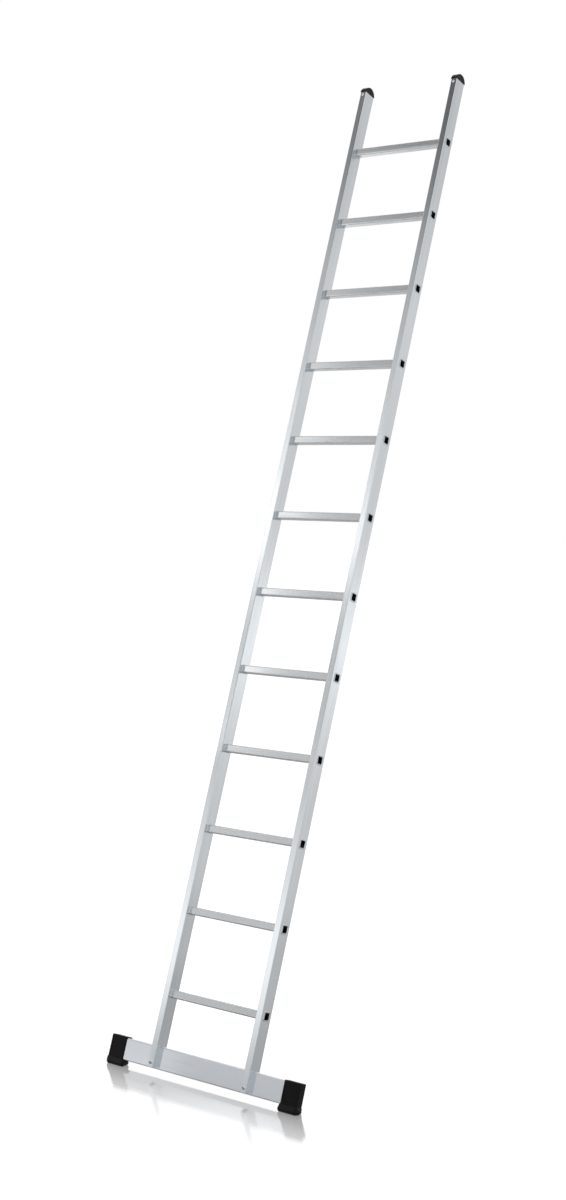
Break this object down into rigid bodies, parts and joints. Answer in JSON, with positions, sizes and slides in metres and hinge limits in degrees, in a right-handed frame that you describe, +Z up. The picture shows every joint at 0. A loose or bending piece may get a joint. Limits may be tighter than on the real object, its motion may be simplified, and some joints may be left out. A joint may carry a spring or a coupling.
{
  "type": "leaning ladder",
  "caption": "Single-section leaning ladder: box-section stiles, square rungs flanged into them, a wide stabiliser crossbar on rubber feet at the base, domed caps on top.",
  "frame": {"origin": "on the floor, in the middle of the rectangle that the leaning ladder covers when seen from above; the crossbar and its feet are at the -Y end and the top of the ladder hangs over the +Y end", "axes": "+X across the rungs, to the right of someone who faces the ladder to climb it; +Y horizontally towards the wall that it leans on; +Z up. The stiles lean 19.6 degrees from +Z towards +Y."},
  "size_m": [0.819, 1.2478, 3.4061],
  "materials": {
    "stile_aluminium": "mill-finish extrusion, satin, fine draw lines along its length",
    "rung_aluminium": "mill-finish extrusion, satin, grooved treads above and below",
    "crossbar_aluminium": "mill-finish extrusion, satin, draw lines along its length",
    "rivet_aluminium": "bright, smooth",
    "fastener_steel": "zinc-plated, satin",
    "cap_plastic": "black, fine moulded grain",
    "foot_plastic": "black, lightly glossy moulded surface",
    "sole_rubber": "black, matt, grooved underside"
  },
  "bodies": {
    "root": {"crossbar": "crossbar_aluminium", "crossbar_bolt_left": "fastener_steel", "crossbar_bolt_right": "fastener_steel", "crossbar_nut_left": "fastener_steel", "crossbar_nut_right": "fastener_steel", "crossbar_spacer_left": "fastener_steel", "crossbar_spacer_right": "fastener_steel", "crossbar_washer_left": "fastener_steel", "crossbar_washer_right": "fastener_steel", "foot_cap_left": "foot_plastic", "foot_cap_right": "foot_plastic", "foot_screw_left": "fastener_steel", "foot_screw_right": "fastener_steel", "foot_sole_left": "sole_rubber", "foot_sole_right": "sole_rubber", "rung_01": "rung_aluminium", "rung_02": "rung_aluminium", "rung_03": "rung_aluminium", "rung_04": "rung_aluminium", "rung_05": "rung_aluminium", "rung_06": "rung_aluminium", "rung_07": "rung_aluminium", "rung_08": "rung_aluminium", "rung_09": "rung_aluminium", "rung_10": "rung_aluminium", "rung_11": "rung_aluminium", "rung_12": "rung_aluminium", "stile_left": "stile_aluminium", "stile_right": "stile_aluminium", "stile_spacer_left": "fastener_steel", "stile_spacer_right": "fastener_steel", "top_cap_left": "cap_plastic", "top_cap_right": "cap_plastic", "top_cap_rivet_left": "rivet_aluminium", "top_cap_rivet_right": "rivet_aluminium"}
  },
  "joints": []
}
